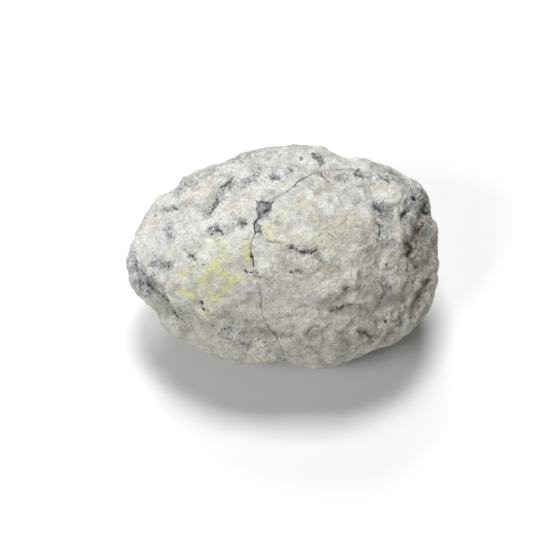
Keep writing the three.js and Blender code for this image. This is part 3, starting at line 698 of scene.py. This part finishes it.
def terraces(points, wave, seed):
    """Flat flakes with small steps between them, a step being 1."""
    along = math.cos(FLAKE_RUN) * FACE_RIGHT + math.sin(FLAKE_RUN) * FACE_UP
    drawn_out = points - FLAKE_STRETCH * (points @ along)[:, None] * along
    jags = JAG * noise_at(points, JAG_WAVE * wave, seed + 1)
    level = FLAKE_LEVELS * noise_at(drawn_out, wave, seed) + jags
    step = np.floor(level)
    return step + smoothstep(level - step, STEP_START, 1.0) - level * STEP_FALL


def ruggedness_of(front, shown):
    """How rough the rind is: 1 where nothing is said, and 0 where it is smooth."""
    rougher = patch_mask(front, ROUGH_PLACES) - patch_mask(front, SMOOTH_PLACES)
    return 1 + rougher * shown


def relief_of(points, rugged):
    """How far the rind's lumps, flakes and crumbs stand out, in mm."""
    lumps = sum(height * billows(points, wave, seed) for height, wave, seed in LUMPS)
    crumbs = sum(share * noise_at(points, wave, seed) for share, wave, seed in CRUMBS)
    height, wave, seed = FLAKES
    flakes = height * terraces(points, wave, seed)
    return rugged * (lumps + flakes) + (CRUMB_HEIGHT + RUGGED_CRUMB_HEIGHT * rugged) * crumbs


def carve_cracks(points, at):
    """The cracks' depth in mm at points, and how dark and rusty they are."""
    depth, dark, rust = np.zeros((3, len(points)))
    moved = at + CRACK_WANDER * wander(points, wave=1.6, seed=7)
    for line in CRACKS:
        profile = faded(path_distance(moved, line["path"]), line["half"], CRACK_FADE)
        depth = np.maximum(depth, profile * line["deep"])
        dark = np.maximum(dark, profile * line["dark"])
        rust = np.maximum(rust, (profile > 0) * line["rust"])
    return depth, dark, rust


def carve_crevices(points, at):
    """The crevices' depth in mm at points, and how dark their crumbly beds are, partly as painted shade."""
    depth, crevice_crumbs_and_shade = np.zeros((2, len(points)))
    crumbled = CREVICE_CRUMBLE * wander(points, wave=0.9, seed=13)
    moved = at + CREVICE_WANDER * wander(points, wave=1.6, seed=7) + crumbled
    ragged = BED_KEPT + BED_VARIES * smoothstep(noise_at(points, wave=1.5, seed=9), *BED_FADE)
    for path, half, deep, darkness in CREVICES:
        profile = faded(path_distance(moved, path), half, CREVICE_FADE)
        depth = np.maximum(depth, profile * deep * ragged)
        crevice_crumbs_and_shade = np.maximum(crevice_crumbs_and_shade, profile * darkness)
    return depth, crevice_crumbs_and_shade


def carve_pits(points, at):
    """The pits' depth in mm at points, and how dark they are."""
    depth, dark = np.zeros((2, len(points)))
    crumbled = PIT_CRUMBLE * wander(points, wave=0.9, seed=13)
    moved = at + PIT_WANDER * wander(points, wave=1.6, seed=7) + crumbled
    for place, radius, deep, darkness in PITS:
        profile = faded(place_distance(moved, place), radius, PIT_FADE)
        depth = np.maximum(depth, profile * deep)
        dark = np.maximum(dark, profile * darkness)
    return depth, dark


def break_chip(points, at, shown):
    """How much each point is in the chip, how dark the broken grey is there, and its roughness in mm."""
    ragged = noise_at(points, wave=1.1, seed=10)
    chip = smoothstep(ring_inside(at, CHIP) + CHIP_RAGGED * ragged, *CHIP_EDGE) * (shown > 0.5)
    shadows = patch_mask(at + CHIP_SHADOW_SWAY * ragged[:, None], CHIP_SHADOWS)
    chip_dark = chip * np.clip(shadows + CHIP_RAGGED * ragged, 0, 1)
    return chip, chip_dark, CHIP_ROUGH * chip * (ragged - chip_dark)


def patch_masks(points, shown):
    """The masks of the rind's coloured patches, on the cracked face and on the back."""
    sway = PATCH_SWAY * wander(points, wave=3.5, seed=11)
    front = seen(points, FACE_OUT, FACE_RIGHT) + sway
    back = seen(points, -FACE_OUT, -FACE_RIGHT) + sway
    hidden = 1 - shown
    return {
        "grey": patch_mask(front, GREY_PATCHES) * shown + patch_mask(back, BACK_GREY_PATCHES) * hidden,
        "brown": patch_mask(front, BROWN_STAINS_AND_SHADE) * shown + patch_mask(back, BACK_BROWN_PATCHES) * hidden,
        "peach": patch_mask(front, PEACH_PATCHES) * shown,
        "chalk": patch_mask(front, CHALK_STROKES) * shown,
        "pale": patch_mask(front, PALE_AND_LIT_PATCHES) * shown,
    }


def paleness_and_painted_light(front, shown, pale_patches):
    """How pale and cool the rind is: more so towards the cracked face's upper left, where the light falls, as
    painted light, and in some patches near the top, partly painted light.
    """
    return np.maximum(smoothstep(front @ PAINTED_LIGHT_WAY * shown, *PAINTED_LIGHT_FADE), pale_patches)


def stone(node):
    """The stone as a new object: its fine mesh, roughened and carved, with its masks as attributes."""
    corners, faces = solid_mesh(node)
    points, triangles = fine_mesh(corners, faces)
    normals = normals_of(points, triangles)
    raised, masks = rind_at(points, smoothstep(normals @ FACE_OUT, *SHOWN_FADE))
    raised = raised * smoothstep(points[:, 2], *FOOT_FADE)
    shaped = np.clip(points + normals * raised[:, None], corners.min(axis=0), corners.max(axis=0))
    return new_piece("geode_stone", shaped, triangles, masks)


def rind_at(points, shown):
    """How far the rind is raised at points, in mm, and its masks by name."""
    front = seen(points, FACE_OUT, FACE_RIGHT)
    rugged = ruggedness_of(front, shown)
    relief = relief_of(points, rugged)
    crack_depth, crack_dark, rust = carve_cracks(points, front)
    crevice_depth, crevice_crumbs_and_shade = carve_crevices(points, front)
    pit_depth, pit_dark = carve_pits(points, front)
    chip, chip_dark, chip_rough = break_chip(points, front, shown)
    depth = np.max([crack_depth, crevice_depth, pit_depth], axis=0) * shown
    raised = relief * (1 - CHIP_FLATTER * chip) - depth + chip_rough + CHIP_LIFT * chip

    masks = patch_masks(points, shown)
    # Paleness, partly painted light: the rind made paler towards the upper left, where the light falls
    masks["pale"] = paleness_and_painted_light(front, shown, masks["pale"])
    masks["dark"] = np.maximum(crack_dark, pit_dark) * shown
    # The crevices' dark: partly their crumbs' own, partly painted shade
    masks["crevice_crumbs_and_shade"] = crevice_crumbs_and_shade * shown
    masks["rust"] = rust
    masks["chip"] = chip
    masks["chip_dark"] = chip_dark
    # Painted shade: how far each point lies down in a hollow of the relief
    masks["hollow"] = smoothstep(-relief, *HOLLOW_FADE)
    masks["rugged"] = rugged
    masks["high"] = smoothstep(front[:, 1] * shown, *HIGH_FADE)
    return raised, masks


def new_piece(name, points, triangles, masks):
    """A smooth-shaded object from points in mm and triangles, with masks as attributes of its points."""
    mesh = bpy.data.meshes.new(name)
    mesh.from_pydata((points * MM).tolist(), [], triangles.tolist())
    mesh.polygons.foreach_set("use_smooth", np.ones(len(triangles), bool))
    for mask_name, values in masks.items():
        mask = mesh.attributes.new(mask_name, "FLOAT", "POINT")
        mask.data.foreach_set("value", np.asarray(values, np.float32))
    piece = bpy.data.objects.new(name, mesh)
    bpy.context.scene.collection.objects.link(piece)
    return piece


# Materials


class Nodes:
    """Short ways to add a material's nodes."""

    def __init__(self, name):
        self.material = bpy.data.materials.new(name)
        self.material.use_nodes = True
        self.tree = self.material.node_tree
        self.shader = self.tree.nodes["Principled BSDF"]

    def set(self, socket, value):
        if isinstance(value, bpy.types.NodeSocket):
            self.tree.links.new(value, socket)
        else:
            socket.default_value = value

    def math(self, operation, a, b):
        node = self.tree.nodes.new("ShaderNodeMath")
        node.operation = operation
        self.set(node.inputs[0], a)
        self.set(node.inputs[1], b)
        return node.outputs[0]

    def times(self, a, b):
        return self.math("MULTIPLY", a, b)

    def plus(self, value, other, share):
        """A value with a share of another added."""
        return self.math("ADD", value, self.times(other, share))

    def ramp(self, value, low, high):
        node = self.tree.nodes.new("ShaderNodeMapRange")
        node.interpolation_type = "SMOOTHSTEP"
        self.set(node.inputs["Value"], value)
        self.set(node.inputs["From Min"], low)
        self.set(node.inputs["From Max"], high)
        return node.outputs["Result"]

    def mix(self, factor, a, b):
        node = self.tree.nodes.new("ShaderNodeMix")
        node.data_type = "RGBA"
        self.set(node.inputs[0], factor)
        self.set(node.inputs[6], a)
        self.set(node.inputs[7], b)
        return node.outputs[2]

    def laid_over(self, colour, over, value, low, high, strength):
        """A colour with another laid over it, as far as a value is from low to high."""
        return self.mix(self.times(self.ramp(value, low, high), strength), colour, over)

    def mask(self, name):
        node = self.tree.nodes.new("ShaderNodeAttribute")
        node.attribute_name = name
        return node.outputs["Fac"]

    def noise(self, wave_mm, detail, roughness, shift):
        """Noise from 0 to 1 of a wave in mm. The shift in metres tells one noise from another."""
        moved = self.tree.nodes.new("ShaderNodeVectorMath")
        moved.operation = "ADD"
        self.set(moved.inputs[0], self.tree.nodes.new("ShaderNodeTexCoord").outputs["Object"])
        moved.inputs[1].default_value = (shift, 0.7 * shift, -shift)
        node = self.tree.nodes.new("ShaderNodeTexNoise")
        self.set(node.inputs["Vector"], moved.outputs[0])
        node.inputs["Scale"].default_value = 1 / (wave_mm * MM)
        node.inputs["Detail"].default_value = detail
        node.inputs["Roughness"].default_value = roughness
        return node.outputs["Fac"]

    def bump(self, height, depth_mm):
        node = self.tree.nodes.new("ShaderNodeBump")
        self.set(node.inputs["Height"], height)
        node.inputs["Strength"].default_value = 1.0
        node.inputs["Distance"].default_value = depth_mm * MM
        self.set(self.shader.inputs["Normal"], node.outputs["Normal"])


def linear(red, green, blue):
    """A colour given as 0 to 255 on a screen, as the shader takes it."""
    parts = [c / 255 for c in (red, green, blue)]
    return (*[c / 12.92 if c <= 0.04045 else ((c + 0.055) / 1.055) ** 2.4 for c in parts], 1.0)


CREAM = linear(222, 219, 207)
PALE = linear(236, 237, 234)
DUST = linear(172, 170, 158)
HOLLOW_SHADE = linear(128, 122, 106)
BLUE_GREY = linear(140, 145, 152)
DARK_SPECK = linear(70, 74, 80)
PEACH = linear(232, 214, 190)
BROWN = linear(126, 112, 88)
YELLOW = linear(230, 232, 148)
CRACK_DARK = linear(50, 48, 44)
CRACK_BROWN = linear(84, 68, 50)
CHIP_GREY = linear(167, 168, 170)
CHIP_SHADOW = linear(60, 58, 58)
PORE = linear(124, 121, 112)


def rind_noises(n):
    """The noises that break up the rind's colours, by name."""
    return SimpleNamespace(
        patchy=n.noise(wave_mm=5, detail=3, roughness=0.55, shift=1),
        blotchy=n.noise(wave_mm=2.2, detail=3, roughness=0.6, shift=2),
        grainy=n.noise(wave_mm=1.0, detail=4, roughness=0.75, shift=3),
        fine=n.noise(wave_mm=0.42, detail=2, roughness=0.6, shift=4),
        crumbly=n.noise(wave_mm=1.8, detail=5, roughness=0.8, shift=5),
        specked=n.noise(wave_mm=1.0, detail=4, roughness=0.75, shift=6),
        dotted=n.noise(wave_mm=0.7, detail=1, roughness=0.5, shift=7),
        porous=n.noise(wave_mm=0.8, detail=3, roughness=0.7, shift=9),
    )


def ground_colour(n, grain):
    """Cream rind, paler and cooler in places, partly as painted light towards the upper left, with dust in
    its pores and painted shade in its hollows.
    """
    # The pale mask is partly painted light: paler towards the upper left and near the top
    paleness_here = n.plus(grain.patchy, n.math("SUBTRACT", n.mask("pale"), 0.5), 0.3)
    colour = n.mix(n.ramp(paleness_here, 0.38, 0.6), CREAM, PALE)
    dusty = n.plus(grain.blotchy, n.mask("rugged"), 0.02)
    porous = n.plus(grain.porous, n.mask("rugged"), 0.03)
    colour = n.laid_over(colour, DUST, dusty, low=0.44, high=0.72, strength=0.36)
    colour = n.laid_over(colour, DUST, grain.grainy, low=0.5, high=0.72, strength=0.45)
    colour = n.laid_over(colour, DUST, grain.fine, low=0.5, high=0.68, strength=0.42)
    colour = n.laid_over(colour, PORE, porous, low=0.58, high=0.7, strength=0.55)
    # Painted shade: the rind made darker and browner where the relief dips into hollows
    return n.mix(n.times(n.mask("hollow"), 0.36), colour, HOLLOW_SHADE)


def with_stains(n, grain, colour):
    """Brown stains and painted shade, peach tints, blue-grey patches with dark specks, stray dots, and yellow
    chalk.
    """
    # Brown: partly stains, partly painted shade in hollows and under ledges
    brown = n.times(n.mask("brown"), n.ramp(grain.crumbly, 0.3, 0.62))
    colour = n.mix(n.times(brown, 0.9), colour, BROWN)
    peach = n.times(n.mask("peach"), n.ramp(grain.grainy, 0.8, 0.3))
    colour = n.mix(n.times(peach, 0.85), colour, PEACH)
    grey = n.plus(n.mask("grey"), n.mask("high"), 0.07)
    patches = n.plus(grain.crumbly, grey, 0.3)
    colour = n.laid_over(colour, BLUE_GREY, patches, low=0.55, high=0.85, strength=0.75)
    specks = n.plus(grain.specked, grey, 0.13)
    colour = n.laid_over(colour, DARK_SPECK, specks, low=0.58, high=0.7, strength=0.75)
    dots = n.times(n.ramp(grain.dotted, 0.66, 0.76), n.ramp(grain.patchy, 0.62, 0.4))
    colour = n.mix(n.times(dots, 0.5), colour, DARK_SPECK)
    chalk = n.times(n.mask("chalk"), n.ramp(grain.blotchy, 0.85, 0.36))
    return n.mix(chalk, colour, YELLOW)


def with_breaks(n, grain, colour):
    """The chip's broken grey, and the dark of the crevices, pits and cracks; the crevices' dark is partly
    painted shade.
    """
    chip_colour = n.mix(n.mask("chip_dark"), CHIP_GREY, CHIP_SHADOW)
    chip_colour = n.laid_over(chip_colour, CHIP_SHADOW, grain.grainy, low=0.45, high=0.65, strength=0.5)
    colour = n.mix(n.mask("chip"), colour, chip_colour)
    line_colour = n.mix(n.math("MAXIMUM", n.mask("brown"), n.mask("rust")), CRACK_DARK, CRACK_BROWN)
    # Crevice beds darkened: partly their crumbs' own dark, partly painted shade
    crevice_crumbs_and_shade = n.plus(n.mask("crevice_crumbs_and_shade"), n.math("SUBTRACT", grain.crumbly, 0.5), 2.0)
    colour = n.laid_over(colour, line_colour, crevice_crumbs_and_shade, low=0.3, high=1.0, strength=0.85)
    dark = n.plus(n.mask("dark"), n.math("SUBTRACT", grain.grainy, 0.5), 0.7)
    return n.laid_over(colour, line_colour, dark, low=0.1, high=0.9, strength=0.95)


def rind_material():
    n = Nodes("chalky_rind")
    grain = rind_noises(n)
    colour = with_breaks(n, grain, with_stains(n, grain, ground_colour(n, grain)))
    n.set(n.shader.inputs["Base Color"], colour)
    n.shader.inputs["Roughness"].default_value = 0.95
    n.shader.inputs["Specular IOR Level"].default_value = 0.2
    height = n.plus(n.plus(n.times(grain.grainy, 0.5), grain.fine, 0.2), grain.crumbly, 0.5)
    n.bump(height, depth_mm=1.9)
    return n.material


def floor_material():
    n = Nodes("pale_floor")
    n.shader.inputs["Base Color"].default_value = FLOOR_GREY
    n.shader.inputs["Roughness"].default_value = 0.9
    n.shader.inputs["Specular IOR Level"].default_value = 0.1
    return n.material


# Stage


def add_floor():
    corners = [(x * FLOOR_HALF, y * FLOOR_HALF, 0) for x, y in ((-1, -1), (1, -1), (1, 1), (-1, 1))]
    mesh = bpy.data.meshes.new("floor")
    mesh.from_pydata(corners, [], [(0, 1, 2, 3)])
    mesh.materials.append(floor_material())
    floor = bpy.data.objects.new("floor", mesh)
    bpy.context.scene.collection.objects.link(floor)


def add_area_light(name, place, watts):
    """A square light at a place in metres that faces the stone."""
    data = bpy.data.lights.new(name, "AREA")
    data.size = LIGHT_SIZE
    data.energy = watts
    light = bpy.data.objects.new(name, data)
    light.location = place
    light.rotation_euler = (Vector(MIDDLE * MM) - Vector(place)).to_track_quat("-Z", "Y").to_euler()
    bpy.context.scene.collection.objects.link(light)


def add_world():
    world = bpy.data.worlds.new("studio")
    world.use_nodes = True
    background = world.node_tree.nodes["Background"]
    background.inputs["Color"].default_value = (1.0, 1.0, 1.0, 1.0)
    background.inputs["Strength"].default_value = WORLD_STRENGTH
    bpy.context.scene.world = world
    bpy.context.scene.view_settings.view_transform = "Standard"


def add_camera():
    """The photo's view: level with the picture, 50 degrees above the floor, from SIGHT away."""
    data = bpy.data.cameras.new("camera")
    data.sensor_width = SENSOR_MM
    data.lens = SENSOR_MM * SIGHT / (MM_PER_PX * IMAGE_PX)
    data.clip_start = 0.01
    camera = bpy.data.objects.new("camera", data)
    place = MIDDLE + SIGHT * FACE_OUT
    aim = MIDDLE - MM_PER_PX * (MIDDLE_PX[0] * FACE_RIGHT + MIDDLE_PX[1] * FACE_UP)
    camera.location = Vector(place * MM)
    camera.rotation_euler = Vector((aim - place).tolist()).to_track_quat("-Z", "Y").to_euler()
    bpy.context.scene.collection.objects.link(camera)
    bpy.context.scene.camera = camera


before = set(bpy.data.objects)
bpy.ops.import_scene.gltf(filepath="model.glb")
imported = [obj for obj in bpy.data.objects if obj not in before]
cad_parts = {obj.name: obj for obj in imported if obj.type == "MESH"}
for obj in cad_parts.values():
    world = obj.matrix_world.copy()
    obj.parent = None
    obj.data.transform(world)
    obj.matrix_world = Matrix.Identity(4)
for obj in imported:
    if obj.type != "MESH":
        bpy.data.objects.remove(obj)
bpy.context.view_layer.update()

geode = stone(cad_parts["geode"])
geode.data.materials.append(rind_material())
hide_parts("geode")
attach(geode, "root")

add_floor()
add_world()
for lamp in LIGHTS:
    add_area_light(**lamp)
add_camera()
